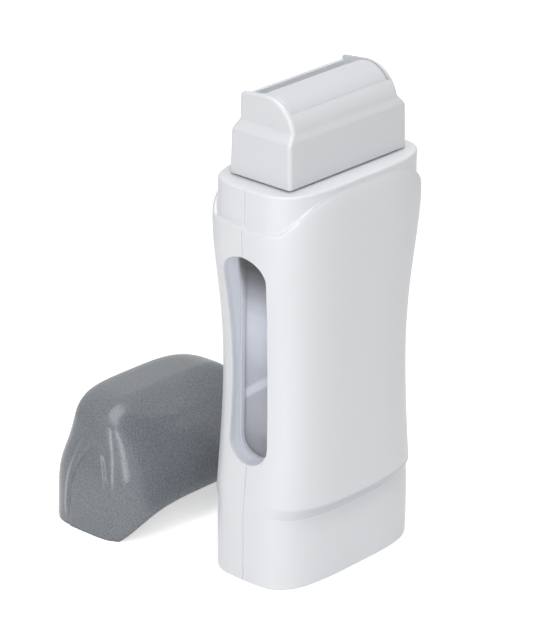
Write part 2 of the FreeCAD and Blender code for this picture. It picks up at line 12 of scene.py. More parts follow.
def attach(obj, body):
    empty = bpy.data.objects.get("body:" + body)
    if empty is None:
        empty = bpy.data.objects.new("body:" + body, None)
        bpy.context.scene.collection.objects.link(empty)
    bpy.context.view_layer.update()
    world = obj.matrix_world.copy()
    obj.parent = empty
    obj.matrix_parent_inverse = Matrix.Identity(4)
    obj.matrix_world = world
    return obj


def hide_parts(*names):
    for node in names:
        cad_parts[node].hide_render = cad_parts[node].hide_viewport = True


bl_info = {
    "name": "Roll-on wax heater",
    "version": (1, 0, 0),
    "blender": (4, 5, 0),
    "location": "View3D > Sidebar > Wax heater",
    "description": "Builds the heater's shells, window, wax cartridge and cap over their frame",
    "category": "Object",
}

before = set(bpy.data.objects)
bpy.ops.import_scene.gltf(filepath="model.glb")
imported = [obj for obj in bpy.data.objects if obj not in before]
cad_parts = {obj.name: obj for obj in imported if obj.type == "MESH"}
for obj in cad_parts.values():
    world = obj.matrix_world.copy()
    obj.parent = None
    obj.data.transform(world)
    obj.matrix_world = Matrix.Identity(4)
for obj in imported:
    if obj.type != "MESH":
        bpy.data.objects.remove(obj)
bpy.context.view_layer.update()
MM = 0.001


# ---- Finishes
MIX_A, MIX_B, MIX_COLOUR = 6, 7, 2      # a Mix node's colour inputs and output
DRIFT_MM = 40.0                         # width of the faint clouds in a moulding's colour

# Moulded: hex colour, roughness, grain and its depth in millimetres, drift of the colour, IOR.
MOULDED = {
    # rosin wax that has set: smooth, warm and slightly mottled
    "rosin_wax": ("#C9B98F", 0.38, 5.0, 0.05, 0.08, 1.48),
    # the gasket's silicone rubber: pale and dull
    "silicone_rubber": ("#C8C9CB", 0.65, 1.5, 0.01, 0.04, 1.41),
    # undyed glass-filled nylon of the chamber: pale and matt, with a coarser skin
    "glass_filled_nylon": ("#D4D5DA", 0.55, 0.8, 0.02, 0.03, 1.53),
    # the inlet's nylon: dense and matt
    "black_nylon": ("#17181A", 0.50, 0.7, 0.015, 0.1, 1.53),
    # the heating elements' dark fired ceramic: dull, with pores
    "fired_ceramic": ("#4B4744", 0.60, 0.5, 0.02, 0.12, 1.6),
    # amber polyimide film: smooth, deep in colour
    "polyimide_film": ("#B5741C", 0.20, 8.0, 0.004, 0.06, 1.7),
    # PVC insulation drawn over stranded leads: satin and even
    "brown_pvc": ("#6B3F22", 0.42, 2.0, 0.01, 0.05, 1.53),
    "blue_pvc": ("#2A5DA8", 0.42, 2.0, 0.01, 0.05, 1.53),
}
# Rolled or brushed: hex colour, roughness, width of the lines in millimetres.
BRUSHED = {
    # rolled sheet of the heating plates: pale, with a soft sheen
    "rolled_aluminium": ("#D2D4D8", 0.35, 0.5),
    # bright strip of the springs and the controls: a little darker and sharper
    "bright_steel_strip": ("#BEBFC2", 0.28, 0.4),
    # zinc-plated screws: bluish, fairly bright
    "zinc_plated_steel": ("#C2C5CA", 0.32, 0.3),
    # nickel-plated brass of the inlet's pins: warm and bright
    "nickel_plated_brass": ("#CFC8B4", 0.22, 0.3),
}
# Painted light and shade on the bottle's wall, lit through the window and shaded towards both ends:
# height in millimetres, and colour.
BOTTLE_PAINTED_SHADING = ((44.0, "#77777D"), (48.0, "#7E7E84"), (52.0, "#9A9AA0"), (56.0, "#A6A6AC"),
                (66.0, "#AFAFB5"), (73.0, "#BABAC0"), (79.0, "#D5D5D8"), (87.0, "#E6E6E8"),
                (91.5, "#E2E2E5"), (95.5, "#C8C8CD"), (99.0, "#B0B0B6"), (104.0, "#A0A0A6"))
BOTTLE_Z = (36.0, 147.0)
# Its painted highlight, a pale slanting band: height at -Y, how much lower at +Y, inner and outer
# half width, strength.
HIGHLIGHT_Z, HIGHLIGHT_DROP, HIGHLIGHT_HALF, HIGHLIGHT_SHARE = 76.7, 16.4, (0.8, 2.6), 0.75
# Painted shade at the window's upper end, where shade falls in the recess, as shares of its height;
# it ends at these shares of its width.
WINDOW_PAINTED_SHADE = ((0.78, "#F4F6FA"), (0.84, "#D8D8DE"), (0.90, "#96959F"), (0.955, "#403E49"),
         (1.0, "#302E38"))
WINDOW_SHADE_END = (0.58, 0.68)


def hex_colour(code):
    """An sRGB hex colour as linear red, green, blue and alpha."""
    channels = [int(code[i:i + 2], 16) / 255 for i in (1, 3, 5)]
    linear = [c / 12.92 if c <= 0.04045 else ((c + 0.055) / 1.055) ** 2.4 for c in channels]
    return (*linear, 1.0)


def add(tree, kind, inputs=None, **settings):
    """Adds a shader node; an input takes a value, an output, or a node for its first output."""
    node = tree.nodes.new("ShaderNode" + kind)
    for name, value in settings.items():
        setattr(node, name, value)
    for key, value in (inputs or {}).items():
        if isinstance(value, bpy.types.Node):
            value = value.outputs[0]
        if isinstance(value, bpy.types.NodeSocket):
            tree.links.new(value, node.inputs[key])
        else:
            node.inputs[key].default_value = value
    return node


def new_material(name):
    """An empty node material, its tree, and the coordinates on its piece."""
    material = bpy.data.materials.new(name)
    material.use_nodes = True
    tree = material.node_tree
    tree.nodes.clear()
    return material, tree, add(tree, "TexCoord").outputs


def surfaced(material, shader):
    """The material, with this shader as its surface."""
    add(material.node_tree, "OutputMaterial", {"Surface": shader})
    return material


def fill_ramp(ramp, stops):
    """Gives a colour ramp its stops, each a place from 0 to 1 and a colour."""
    while len(ramp.elements) < len(stops):
        ramp.elements.new(0.5)
    for element, (place, tone) in zip(ramp.elements, stops):
        element.position, element.color = place, tone


def relief(tree, place, grain_mm, depth_mm, strength, detail=3.0, roughness=0.5):
    """A pattern with a grain of a real size, and the bumps that it makes."""
    grain = add(tree, "TexNoise", {
        "Vector": place, "Scale": 1 / (grain_mm * MM), "Detail": detail, "Roughness": roughness})
    return grain, add(tree, "Bump", {
        "Height": grain, "Distance": depth_mm * MM, "Strength": strength})


def moulded(name, tone, roughness, grain_mm, depth_mm, drift, ior):
    """A moulded plastic: an even colour that drifts faintly, over the mould's fine texture."""
    material, tree, place = new_material(name)
    clouds = add(tree, "TexNoise", {
        "Vector": place["Object"], "Scale": 1 / (DRIFT_MM * MM), "Detail": 2.0})
    shade = add(tree, "Mix", {
        "Factor": clouds,
        MIX_A: (*(c * (1 - drift) for c in tone[:3]), 1.0),
        MIX_B: (*(min(1.0, c * (1 + drift)) for c in tone[:3]), 1.0)}, data_type="RGBA")
    _, bump = relief(tree, place["Object"], grain_mm, depth_mm, 0.6, roughness=0.6)
    wear = add(tree, "MapRange", {
        "Value": clouds, "To Min": roughness * 0.9, "To Max": roughness * 1.1})
    skin = add(tree, "BsdfPrincipled", {
        "Base Color": shade.outputs[MIX_COLOUR], "Roughness": wear, "IOR": ior, "Normal": bump})
    return surfaced(material, skin)


def inner_plastic(name):
    """One of the moulded finishes above."""
    code, *rest = MOULDED[name]
    return moulded(name, hex_colour(code), *rest)


def brushed(name):
    """One of the metals above: lines that run along Z and stretch the highlight."""
    code, roughness, line_mm = BRUSHED[name]
    material, tree, place = new_material(name)
    stretch = add(tree, "Mapping", {"Vector": place["Object"], "Scale": (1.0, 1.0, 0.03)})
    lines, bump = relief(tree, stretch, line_mm, 0.006, 0.5)
    gloss = add(tree, "MapRange", {
        "Value": lines, "To Min": roughness * 0.7, "To Max": roughness * 1.4})
    skin = add(tree, "BsdfPrincipled", {
        "Base Color": hex_colour(code), "Metallic": 1.0, "Roughness": gloss, "Normal": bump})
    return surfaced(material, skin)


def gloss_white_abs(white, crease_shade_white):
    """ABS from a polished mould: soft wide highlights, a trace of orange peel, and painted shade in
    the crease.
    """
    material = moulded("gloss_white_abs", white, 0.34, 3.0, 0.010, 0.01, 1.54)
    tree = material.node_tree
    base = next(n for n in tree.nodes if n.type == "BSDF_PRINCIPLED").inputs["Base Color"]
    # painted shade: the crease's rows are mixed towards a greyer white
    under = add(tree, "Attribute", attribute_name="painted_crease_shade")
    shade = add(tree, "Mix", {
        "Factor": under.outputs["Fac"], MIX_A: base.links[0].from_socket, MIX_B: crease_shade_white},
        data_type="RGBA")
    tree.links.new(shade.outputs[MIX_COLOUR], base)
    return material


def gloss_head_abs(white):
    """The roller housing's ABS: a little glossier, so that its edges catch the light."""
    return moulded("head_gloss_abs", white, 0.25, 3.0, 0.006, 0.01, 1.54)


def polished_polypropylene(white):
    """The roller's polypropylene from a polished mould: pale, with a long even highlight."""
    return moulded("polished_polypropylene", white, 0.18, 2.0, 0.003, 0.01, 1.49)


def spark_eroded_grey(dark, light):
    """The cap's grey ABS from a spark-eroded mould: a fine speckle that breaks up the sheen.

    The real grain is about 0.1 mm, too fine to show, so it is drawn coarser.
    """
    material, tree, place = new_material("spark_eroded_grey_abs")
    speck, bump = relief(tree, place["Object"], 0.55, 0.03, 0.35, 2.0, 0.7)
    tone = add(tree, "ValToRGB", {"Fac": speck})
    fill_ramp(tone.color_ramp, ((0.30, dark), (0.72, light)))
    skin = add(tree, "BsdfPrincipled", {
        "Base Color": tone, "Roughness": 0.22, "IOR": 1.54, "Normal": bump})
    return surfaced(material, skin)


def clear_polycarbonate():
    """Clear polycarbonate from a polished mould: faint flow waves, and painted shade at its upper
    end.
    """
    material, tree, place = new_material("clear_polycarbonate")
    spot = add(tree, "SeparateXYZ", {0: place["Generated"]})
    # painted shade: the lens darkens towards its upper end and fades out across its width
    painted_shade = add(tree, "ValToRGB", {"Fac": spot.outputs["Z"]})
    fill_ramp(painted_shade.color_ramp, [(share, hex_colour(code)) for share, code in WINDOW_PAINTED_SHADE])
    shade_fade = add(tree, "MapRange", {
        "Value": spot.outputs["Y"], "From Min": WINDOW_SHADE_END[0], "From Max": WINDOW_SHADE_END[1]},
        interpolation_type="SMOOTHSTEP")
    shaded_tint = add(tree, "Mix", {
        "Factor": shade_fade, MIX_A: painted_shade, MIX_B: hex_colour(WINDOW_PAINTED_SHADE[0][1])}, data_type="RGBA")
    _, bump = relief(tree, place["Object"], 9.0, 0.03, 0.5, 1.0)
    glass = add(tree, "BsdfPrincipled", {
        "Base Color": shaded_tint.outputs[MIX_COLOUR], "Roughness": 0.03, "IOR": 1.58,
        "Transmission Weight": 1.0, "Normal": bump})
    # a lamp's light passes straight in, as it does through the real thin wall
    passed = add(tree, "BsdfTransparent", {"Color": hex_colour("#F0F2F6")})
    path = add(tree, "LightPath")
    lit = add(tree, "Math", {
        0: path.outputs["Is Shadow Ray"], 1: path.outputs["Is Diffuse Ray"]}, operation="MAXIMUM")
    return surfaced(material, add(tree, "MixShader", {0: lit, 1: glass, 2: passed}))


def cloudy_polypropylene_painted_shading():
    """The bottle's cloudy polypropylene, with painted light and shade that darken towards its ends,
    and a painted highlight.
    """
    material, tree, place = new_material("cloudy_polypropylene_painted_shading")
    spot = add(tree, "SeparateXYZ", {0: place["Generated"]})
    height = add(tree, "MapRange", {
        "Value": spot.outputs["Z"], "To Min": BOTTLE_Z[0], "To Max": BOTTLE_Z[1]})
    low, high = BOTTLE_PAINTED_SHADING[0][0], BOTTLE_PAINTED_SHADING[-1][0]
    share = add(tree, "MapRange", {"Value": height, "From Min": low, "From Max": high})
    # painted light and shade along the bottle's height
    tone = add(tree, "ValToRGB", {"Fac": share})
    fill_ramp(tone.color_ramp,
              [((z - low) / (high - low), hex_colour(code)) for z, code in BOTTLE_PAINTED_SHADING])
    # how far a point lies above or below the painted highlight
    climb = add(tree, "Math", {
        0: spot.outputs["Y"], 1: HIGHLIGHT_DROP, 2: height}, operation="MULTIPLY_ADD")
    off = add(tree, "Math", {0: climb, 1: HIGHLIGHT_Z}, operation="SUBTRACT")
    away = add(tree, "Math", {0: off}, operation="ABSOLUTE")
    painted_highlight = add(tree, "MapRange", {
        "Value": away, "From Min": HIGHLIGHT_HALF[0], "From Max": HIGHLIGHT_HALF[1],
        "To Min": HIGHLIGHT_SHARE, "To Max": 0.0}, interpolation_type="SMOOTHSTEP")
    # mixes the painted highlight's pale colour over the painted light and shade
    shade = add(tree, "Mix", {
        "Factor": painted_highlight, MIX_A: tone, MIX_B: hex_colour("#E8E8EB")}, data_type="RGBA")
    skin = add(tree, "BsdfPrincipled", {
        "Base Color": shade.outputs[MIX_COLOUR], "Roughness": 0.28, "IOR": 1.49})
    return surfaced(material, skin)


def tinted_polycarbonate():
    """The lamp lens's tinted polycarbonate: deep orange that lets light through."""
    material, tree, place = new_material("tinted_polycarbonate")
    haze = add(tree, "TexNoise", {"Vector": place["Object"], "Scale": 1 / (1.5 * MM)})
    gloss = add(tree, "MapRange", {"Value": haze, "To Min": 0.10, "To Max": 0.18})
    skin = add(tree, "BsdfPrincipled", {
        "Base Color": hex_colour("#E2601E"), "Roughness": gloss, "IOR": 1.58,
        "Transmission Weight": 0.6})
    return surfaced(material, skin)


# ---- Shapes
WELD = 0.002                 # points nearer than this are one, in millimetres


def between(a, b, share):
    """The value a share of the way from a to b."""
    return a + (b - a) * share


def blend(p, q, share):
    """The point a share of the way from p to q."""
    return tuple(between(a, b, share) for a, b in zip(p, q))


def smooth_step(value, low, high):
    """A share from 0 at low to 1 at high, soft at both ends."""
    t = min(1.0, max(0.0, (value - low) / (high - low)))
    return t * t * (3 - 2 * t)


def quarter_turn(steps):
    """Cosines and sines at even steps from 0 to 90 degrees."""
    angles = [math.pi / 2 * i / steps for i in range(steps + 1)]
    return [(math.cos(angle), math.sin(angle)) for angle in angles]


def steer(stations, t):
    """A point on the clamped cubic curve that the stations steer, for t from 0 to 1."""
    degree = min(3, len(stations) - 1)
    spans = len(stations) - degree
    knots = [0] * degree + list(range(spans + 1)) + [spans] * degree
    place = min(t * spans, spans - 1e-9)
    span = int(place) + degree
    points = list(stations[span - degree:span + 1])
    for level in range(1, degree + 1):
        for j in range(degree, level - 1, -1):
            low = knots[j + span - degree]
            share = (place - low) / (knots[j + 1 + span - level] - low)
            points[j] = blend(points[j - 1], points[j], share)
    return points[degree]


def sampled(stations, count=1200):
    """Close points along the steered curve."""
    return [steer(stations, i / count) for i in range(count + 1)]


def at_height(line, z):
    """The point at a height, which is each point's first number."""
    place = min(max(bisect.bisect_left(line, (z,)), 1), len(line) - 1)
    low, high = line[place - 1], line[place]
    share = min(1.0, max(0.0, (z - low[0]) / max(high[0] - low[0], 1e-9)))
    return blend(low, high, share)


def even_points(points, count, extra=(), scale=(1.0, 1.0)):
    """A line in count even steps, with points at extra lengths; scale stretches its measure."""
    run = [0.0]
    for (a0, b0), (a1, b1) in zip(points, points[1:]):
        run.append(run[-1] + math.hypot((a1 - a0) * scale[0], (b1 - b0) * scale[1]))
    found, j = [], 0
    for place in sorted([*extra, *(run[-1] * i / count for i in range(count + 1))]):
        while j < len(run) - 2 and run[j + 1] < place:
            j += 1
        share = (place - run[j]) / (run[j + 1] - run[j])
        found.append(blend(points[j], points[j + 1], share))
    return found


def oblong_spread(half, count, seam=()):
    """Unit directions of evenly spread points round half a rounded oblong, from +X over Y to -X."""
    fine = [(x ** (2 / POWER), y ** (2 / POWER)) for x, y in quarter_turn(2000)]
    quarter = even_points(fine, count, seam, half)
    return quarter + [(-x, y) for x, y in reversed(quarter[:-1])]


def grid_faces(bm, rows, closed=False):
    """Joins rows of vertices into a surface."""
    for low, high in zip(rows, rows[1:]):
        count = len(low)
        for i in range(count if closed else count - 1):
            j = (i + 1) % count
            bm.faces.new((low[i], low[j], high[j], high[i]))


def linked(scene, name, data):
    """A new object in the scene."""
    made = bpy.data.objects.new(name, data)
    scene.collection.objects.link(made)
    return made


def new_mesh(bm, name, material):
    """A mesh with one material, from a bmesh."""
    mesh = bpy.data.meshes.new(name)
    bm.to_mesh(mesh)
    bm.free()
    mesh.materials.append(material)
    return mesh


def finished(bm, name, body, material, replaced, smooth):
    """Turns a bmesh into a shaded piece on its body; smooth is the sharpest soft angle."""
    bmesh.ops.remove_doubles(bm, verts=bm.verts, dist=WELD * MM)
    bmesh.ops.recalc_face_normals(bm, faces=bm.faces)
    mesh = new_mesh(bm, name, material)
    for polygon in mesh.polygons:
        polygon.use_smooth = True
    mesh.set_sharp_from_angle(angle=math.radians(smooth))
    piece = linked(bpy.context.scene, name, mesh)
    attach(piece, body)
    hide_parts(*replaced)
    even = piece.modifiers.new("even_shading", "WEIGHTED_NORMAL")
    even.keep_sharp = True
    return piece


def dress(material, *nodes):
    """Gives frame nodes their finish."""
    for node in nodes:
        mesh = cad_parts[node].data
        mesh.materials.clear()
        mesh.materials.append(material)
        for polygon in mesh.polygons:
            polygon.material_index = 0


# ---- Settings
def length(name, description, millimetres):
    """A setting that is a length, which Blender keeps in metres."""
    return FloatProperty(name=name, description=description, default=millimetres * MM,
                         precision=5, subtype="DISTANCE", unit="LENGTH")


def colour(name, description, code):
    """A setting that is a colour."""
    return FloatVectorProperty(name=name, description=description, subtype="COLOR", size=4,
                               min=0.0, max=1.0, default=hex_colour(code))


def sizes(group):
    """A group's numbers by name, with its lengths in millimetres."""
    kinds, found = group.bl_rna.properties, SimpleNamespace()
    for name in group.__annotations__:
        unit = MM if kinds[name].unit == "LENGTH" else 1.0
        setattr(found, name, round(getattr(group, name) / unit, 4))
    return found


class WaxHousingSettings(bpy.types.PropertyGroup):
    """Sizes of the two shells"""
    ledge_z: length("Ledge height", "Height of the cap's ledge on the narrow sides", 126.2)
    ledge_rise: length("Ledge rise", "How far the ledge arches up on the wide faces", 11.3)
    ledge_reach: length("Ledge reach", "Half width over which the ledge arches", 35.2)
    collar_top: length("Collar top", "Height of the collar's flat top", 138.8)
    collar_inset: length("Collar inset", "Depth of the ledge round the collar", 1.9)
    crease_depth: length("Crease", "How far the wide faces lean in under the brow", 1.4)
    shoulder_depth: length("Shoulder depth", "How far the wide faces lean in at the ledge", 0.8)
    shoulder_height: length("Shoulder height", "How far below the ledge they lean in", 9.0)
    lip_radius: length("Lip", "Rounding of the ledge's lip", 1.2)
    seam_width: length("Seam width", "Width of the line where the shells meet", 0.4)
    edge_radius: length("Base rounding", "Rounding round the flat base", 1.2)


class WaxWindowSettings(bpy.types.PropertyGroup):
    """Sizes of the window in the narrow side"""
    low: length("Bottom", "Height of the slot's lower end", 42.2)
    high: length("Top", "Height of the slot's upper end", 115.8)
    width: length("Width", "Width of the slot at the waist", 15.2)
    flare: FloatProperty(name="Flare", description="How strongly the slot widens with the body",
                         default=1.1)
    recess: length("Recess", "How deep the clear lens sits", 0.8)
    sheet: length("Sheet", "Thickness of the clear lens", 1.2)
    floor_x: length("Recess floor", "Where the recess behind the lens ends, along X", -28.2)


class WaxCapSettings(bpy.types.PropertyGroup):
    """Sizes of the cap"""
    wall: length("Wall", "Wall of the cap", 1.4)
    grip_half: length("Grip half width", "Half width of the thumb grip at the rim", 10.0)
    grip_height: length("Grip height", "Height of the thumb grip's arch", 32.0)
    grip_offset: length("Grip offset", "How far the grip's middle lies towards -Y", 2.5)
    grip_relief: length("Grip relief", "How far the grip stands out at its top", 0.9)
    grip_groove: length("Grip groove", "Depth of the groove round the grip", 0.9)


class WaxColours(bpy.types.PropertyGroup):
    """Colours of the pieces that show, and of the surroundings"""
    shells: colour("Shells", "Gloss white of both shells", "#E4E6E9")
    # painted shade: the greyer white that darkens the crease, where shade falls
    painted_crease_shade: colour("Undercut", "The shells' white in the crease", "#C6C8D0")
    head: colour("Roller housing", "White of the cartridge's head", "#DDDFE2")
    roller: colour("Roller", "White of the wax roller", "#D9DBDF")
    cap_dark: colour("Cap, dark", "Darker grey of the cap's speckle", "#646A6F")
    cap_light: colour("Cap, light", "Lighter grey of the cap's speckle", "#858A90")
    ground: colour("Ground", "Colour of the floor and backdrop", "#FFFFFF")


# ---- Body sections, in millimetres
POWER = 3.74                 # squareness of a section
# Height, half width, half depth and rise at the two ends, as the shells' CAD sections have them.
LOWER = ((1.2, 34.8, 19.5, 0.0), (12.0, 34.9, 19.6, 0.9), (23.2, 35.0, 19.6, 2.6))
UPPER = ((26.2, 34.8, 20.5, 2.6), (45.0, 33.2, 20.1, 1.3), (64.0, 32.3, 19.4, 0.0),
         (80.0, 32.6, 19.3, 0.0), (96.0, 33.8, 20.0, 0.0), (110.0, 36.0, 20.9, 0.0),
         (126.0, 37.4, 21.8, 0.0), (133.0, 37.2, 21.4, 0.0), (139.0, 36.2, 20.2, 0.0))
TALL_SIDE = sampled(UPPER)
SECTION_HALF, WAIST_HALF_Y = (35.0, 20.0), 19.3
SHOULDER, WELL_HALF = (37.4, 21.8), (26.7, 11.8)
LEDGE_POWER = 3.9            # how square the ledge's arch is


def ledge_height(dx, s, foot):
    """Height of the arched ledge in a direction from the middle."""
    reach = min(1.0, abs(SHOULDER[0] * dx) / s.ledge_reach)
    return foot + s.ledge_rise * (1 - reach ** LEDGE_POWER)


# ---- Shells
# Rows of a column: across the base, up the edge, foot, tall side and collar,
BASE_SHARES = (0.0, 0.35, 0.7, 0.93)
EDGE_STEPS, FOOT_STEPS, TALL_STEPS, COLLAR_STEPS, COLLAR_EDGE_STEPS = 6, 16, 110, 6, 5
# through the crease, as shares of the way up and out,
CREASE_STEPS = ((0.08, 0.02), (0.2, 0.11), (0.35, 0.27), (0.5, 0.44), (0.65, 0.61), (0.8, 0.78))
# over the ledge, as shares of the way in and rises, in lip radii where negative,
LEDGE_STEPS = ((0.03, -0.66), (0.10, -0.38), (0.22, -0.16), (0.38, -0.04), (0.55, 0.0),
               (0.72, 0.04), (0.86, 0.18), (0.95, 0.45), (1.0, 0.9))
# and across the deck and down into the well.
DECK_SHARES, WELL_DROPS = (0.3, 0.6, 0.9, 1.0), (0.3, 3.0, 14.0)
# painted shade goes on these rows, strongest on the wide faces
CREASE_ROWS = slice(28, 35)  # the rows that lie in the undercut
FOOT_END = 0.985             # share of the foot at which its rows end, short of the crease
BROW_SHARE, BROW_FADE = 0.2, 1.5        # how far the brow leans in too, and over what height
ARCH_FADE = 0.35             # share of the tall side over which the crease's arch fades
COLLAR_FOOT, COLLAR_ROUND = 1.2, 0.7    # the fillet's height, and the rounding of the top
# The seam: its depth and that of its soft edge, and extra columns beside it, in seam widths.
SEAM_DEPTH, SEAM_EDGE_DEPTH, SEAM_EDGE = 0.7, 0.12, 0.4
SEAM_COLUMNS, SHELL_COLUMNS = (0.3, 0.55, 1.0, 2.5), 64

# Openings. The slot's rounded edge, as steps inwards and gaps to the outline, and its recess:
SLOT_EDGE = ((0.12, -0.04), (0.22, -0.14), (0.5, -0.16))
RECESS_SHARES = (0.35, 0.7, 1.0)
SLOT_SIDE, HOLE_SIDE = 20.0, 12.5       # the skins that they open lie further out than this
HOLE_EDGE = 0.15                        # soft edge of a round hole
ON_OUTLINE = 0.02                       # how near to an outline a vertex on it lies
# The inlet's two joined lobes as Y, Z; the screws' holes as X, Z; radii, and how deep they reach.
INLET_LOBES, INLET_R, INLET_FLOOR = ((-3.2, 14.5), (3.2, 14.5)), 5.36, 32.2
SCREW_HOLES = ((-31.0, 121.6), (31.0, 121.6), (-12.0, 9.2), (12.0, 9.2))
SCREW_R, SCREW_FLOOR = 2.4, 4.1


def shell_column(dx, dy, s, sunk):
    """One upright line of a shell, from the middle of the base to the well.

    dx and dy are its direction from the middle; sunk is how deep it lies in the seam.
    """
    line = []

    def to(half_x, half_y, z, lean=0.0):
        line.append(((half_x - lean - sunk) * dx, (half_y - lean - sunk) * dy, z))

    foot_z, base_x, base_y, _ = LOWER[0]
    for share in BASE_SHARES:
        line.append((base_x * share * dx, base_y * share * dy, 0.0))
    for x, y in quarter_turn(EDGE_STEPS):
        to(base_x, base_y, foot_z * (1 - x), s.edge_radius * (1 - y))
    crease, arch = s.crease_depth * abs(dy) ** 3, dx * dx
    for i in range(1, FOOT_STEPS + 1):
        z, half_x, half_y, rise = steer(LOWER, i / FOOT_STEPS * FOOT_END)
        to(half_x, half_y - crease * (i / FOOT_STEPS) ** 4, z + rise * arch)
    # the crease: a short concave step under a rounded brow
    z0, x0, y0, rise = steer(LOWER, 1.0)
    z1, x1, y1, _ = steer(UPPER, 0.0)
    brow = crease * BROW_SHARE
    y0, y1 = y0 - crease, y1 - brow
    for up, out in CREASE_STEPS:
        to(between(x0, x1, out), between(y0, y1, out), between(z0, z1, up) + rise * arch)
    # the tall side, up to the ledge; the wide faces lean in softly below it
    top = ledge_height(dx, s, s.ledge_z)
    soft, lip = s.shoulder_depth * abs(dy) ** 3, s.lip_radius
    for i in range(TALL_STEPS + 1):
        z = between(z1, top - lip, i / TALL_STEPS)
        _, half_x, half_y, rise = at_height(TALL_SIDE, z + 1e-6)
        lean = soft * max(0.0, 1 - (top - z) / s.shoulder_height) ** 2
        under = brow * max(0.0, 1 - (z - z1) / BROW_FADE) ** 2
        fade = max(0.0, 1 - i / (TALL_STEPS * ARCH_FADE))
        to(half_x, half_y - under, z + rise * arch * fade, lean)
    # the ledge: a round lip, a short shelf and a fillet up to the collar
    _, edge_x, edge_y, _ = at_height(TALL_SIDE, top)
    collar_x, collar_y = (half - s.collar_inset for half in SHOULDER)
    for share, up in LEDGE_STEPS:
        to(between(edge_x - soft, collar_x, share), between(edge_y - soft, collar_y, share),
           top + up * (lip if up < 0 else 1.0))
    # the collar, with a rounded top
    turn = s.collar_top - COLLAR_ROUND
    start = min(top + COLLAR_FOOT, turn - 0.05)
    for i in range(COLLAR_STEPS + 1):
        to(collar_x, collar_y, between(start, turn, i / COLLAR_STEPS))
    for x, y in quarter_turn(COLLAR_EDGE_STEPS)[1:]:
        to(collar_x, collar_y, turn + COLLAR_ROUND * y, COLLAR_ROUND * (1 - x))
    # the deck, and down into the well
    deck_x, deck_y, _ = line[-1]
    well_x, well_y = (math.copysign(half * abs(d) ** 0.5, d)
                      for half, d in zip(WELL_HALF, (dx, dy)))
    for share in DECK_SHARES:
        line.append((between(deck_x, well_x, share), between(deck_y, well_y, share),
                     s.collar_top))
    for drop in WELL_DROPS:
        line.append((well_x, well_y, s.collar_top - drop))
    return line


def seam_depth(dy, s):
    """How deep a column lies in the seam, which runs up where dy is 0."""
    if dy == 0:
        return SEAM_DEPTH
    return SEAM_EDGE_DEPTH if abs(dy) * SECTION_HALF[1] < s.seam_width * SEAM_EDGE else 0.0


def skin_x(y, z):
    """Where the skin of the -X side lies."""
    _, half_x, half_y, _ = at_height(TALL_SIDE, z)
    return -half_x * (1 - min(1.0, abs(y / half_y)) ** POWER) ** (1 / POWER)


def slot_flare(z, s):
    """How much wider the slot is at a height than at the waist: it widens with the body."""
    return 1 + s.flare * (at_height(TALL_SIDE, z)[2] - WAIST_HALF_Y) / (s.width / 2)


def from_middle(y, z, s):
    """Height of the nearest point on the slot's middle line, and the way from it."""
    radius = s.width / 2
    nearest = min(max(z, s.low + radius), s.high - radius)
    return nearest, (y / slot_flare(z, s), z - nearest)


def to_slot_edge(y, z, s, gap):
    """The nearest point that lies gap outside the slot's outline."""
    nearest, way = from_middle(y, z, s)
    size = s.width / 2 + gap
    way = Vector(way).normalized() * size if math.hypot(*way) > 1e-6 else Vector((size, 0))
    return way.x * slot_flare(nearest + way.y, s), nearest + way.y


def open_skin(bm, beyond, snap):
    """Opens a skin inside an outline, and gives the opening's rim.

    beyond gives a vertex's distance to the outline, negative inside; snap moves one onto it.
    """
    gone = [f for f in bm.faces if all(beyond(v) < 0 for v in f.verts)]
    bmesh.ops.delete(bm, geom=gone, context="FACES")
    for vertex in [v for v in bm.verts if beyond(v) < 0]:
        snap(vertex)
    return [e for e in bm.edges
            if e.is_boundary and all(abs(beyond(v)) < ON_OUTLINE for v in e.verts)]


def extruded(bm, rim):
    """Extrudes a rim, and gives the new rim and its vertices."""
    made = bmesh.ops.extrude_edge_only(bm, edges=rim)["geom"]
    return ([e for e in made if isinstance(e, bmesh.types.BMEdge) and e.is_boundary],
            [v for v in made if isinstance(v, bmesh.types.BMVert)])


def cut_window(bm, s):
    """Opens the slot in the -X side, rounds its edge inwards and walls the recess behind it."""
    def beyond(vertex):
        if vertex.co.x > -SLOT_SIDE * MM:
            return math.inf
        _, way = from_middle(vertex.co.y / MM, vertex.co.z / MM, s)
        return math.hypot(*way) - s.width / 2

    def snap(vertex, gap=0.0):
        y, z = to_slot_edge(vertex.co.y / MM, vertex.co.z / MM, s, gap)
        vertex.co.y, vertex.co.z = y * MM, z * MM

    rim = open_skin(bm, beyond, snap)
    for deeper, gap in SLOT_EDGE:
        rim, made = extruded(bm, rim)
        for vertex in made:
            snap(vertex, gap)
            vertex.co.x += deeper * MM
    # the recess: its walls turn straight towards the chamber
    depth, gap = sum(deeper for deeper, _ in SLOT_EDGE), SLOT_EDGE[-1][1]
    for share in RECESS_SHARES:
        rim, made = extruded(bm, rim)
        for vertex in made:
            y, z = vertex.co.y / MM, vertex.co.z / MM
            x = between(skin_x(y, z) + depth, s.floor_x, share)
            straight = abs(to_slot_edge(y, z, s, gap)[0])
            straight *= between(1.0, 1 / slot_flare(z, s), share)
            vertex.co = Vector((x, math.copysign(straight, y), z)) * MM


